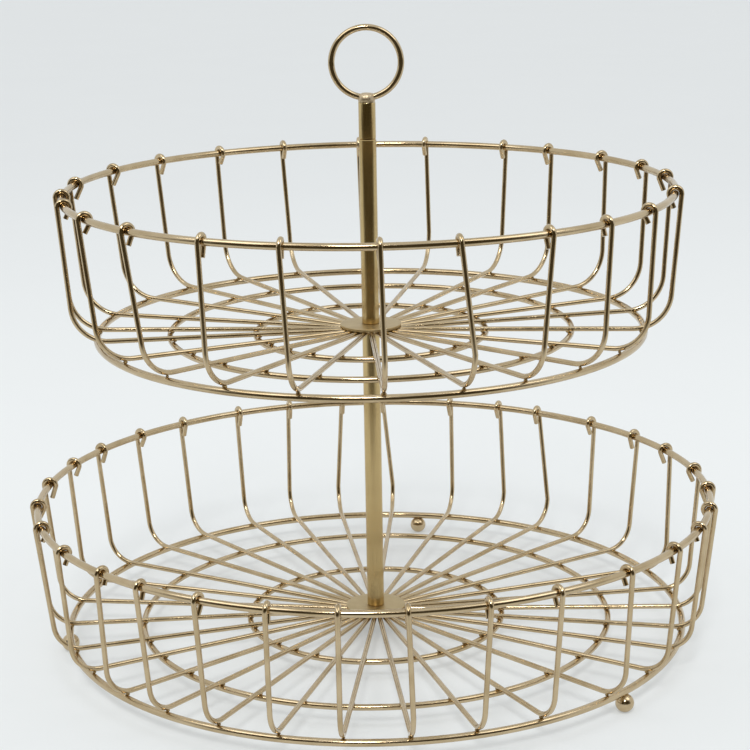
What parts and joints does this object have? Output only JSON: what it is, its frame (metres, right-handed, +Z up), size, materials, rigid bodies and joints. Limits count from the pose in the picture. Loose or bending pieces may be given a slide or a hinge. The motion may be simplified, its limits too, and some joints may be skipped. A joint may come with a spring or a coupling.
{
  "type": "tiered wire basket",
  "caption": "Two-tier round welded wire basket on a central post, with hooked ribs, hub plates, ball feet and a ring handle on top.",
  "frame": {"origin": "on the table, under the axis of the post", "axes": "+Z up along the post, -Y towards the front, where the ring handle faces, +X to the right"},
  "size_m": [0.3894, 0.3894, 0.35],
  "materials": {
    "plated_rib_wire": "satin champagne gold plating on drawn steel wire, ribs",
    "plated_ring_wire": "satin champagne gold plating on drawn steel wire, rings and handle",
    "plated_tube": "brushed champagne gold plating on steel tube and stem",
    "plated_plate": "satin champagne gold plating on pressed steel discs",
    "plated_ball": "polished champagne gold plating on solid steel balls",
    "zinc_steel": "bright zinc plating on threaded steel fasteners and plugs"
  },
  "bodies": {
    "root": {"ball_feet": "plated_ball", "base_screw": "zinc_steel", "base_washer": "zinc_steel", "handle_ring": "plated_ring_wire", "handle_stem": "plated_tube", "handle_stud": "zinc_steel", "lower_base_ring": "plated_ring_wire", "lower_hub_plate": "plated_plate", "lower_inner_ring": "plated_ring_wire", "lower_mid_ring": "plated_ring_wire", "lower_pole": "plated_tube", "lower_pole_bottom_plug": "zinc_steel", "lower_pole_top_plug": "zinc_steel", "lower_rib_pair_01": "plated_rib_wire", "lower_rib_pair_02": "plated_rib_wire", "lower_rib_pair_03": "plated_rib_wire", "lower_rib_pair_04": "plated_rib_wire", "lower_rib_pair_05": "plated_rib_wire", "lower_rib_pair_06": "plated_rib_wire", "lower_rib_pair_07": "plated_rib_wire", "lower_rib_pair_08": "plated_rib_wire", "lower_rib_pair_09": "plated_rib_wire", "lower_rib_pair_10": "plated_rib_wire", "lower_rib_pair_11": "plated_rib_wire", "lower_rib_pair_12": "plated_rib_wire", "lower_rib_pair_13": "plated_rib_wire", "lower_rib_pair_14": "plated_rib_wire", "lower_rib_pair_15": "plated_rib_wire", "lower_rib_pair_16": "plated_rib_wire", "lower_rim_ring": "plated_ring_wire", "tier_stud": "zinc_steel", "upper_base_ring": "plated_ring_wire", "upper_hub_plate": "plated_plate", "upper_inner_ring": "plated_ring_wire", "upper_mid_ring": "plated_ring_wire", "upper_pole": "plated_tube", "upper_pole_bottom_plug": "zinc_steel", "upper_pole_top_plug": "zinc_steel", "upper_rib_pair_01": "plated_rib_wire", "upper_rib_pair_02": "plated_rib_wire", "upper_rib_pair_03": "plated_rib_wire", "upper_rib_pair_04": "plated_rib_wire", "upper_rib_pair_05": "plated_rib_wire", "upper_rib_pair_06": "plated_rib_wire", "upper_rib_pair_07": "plated_rib_wire", "upper_rib_pair_08": "plated_rib_wire", "upper_rib_pair_09": "plated_rib_wire", "upper_rib_pair_10": "plated_rib_wire", "upper_rib_pair_11": "plated_rib_wire", "upper_rib_pair_12": "plated_rib_wire", "upper_rim_ring": "plated_ring_wire"}
  },
  "joints": []
}
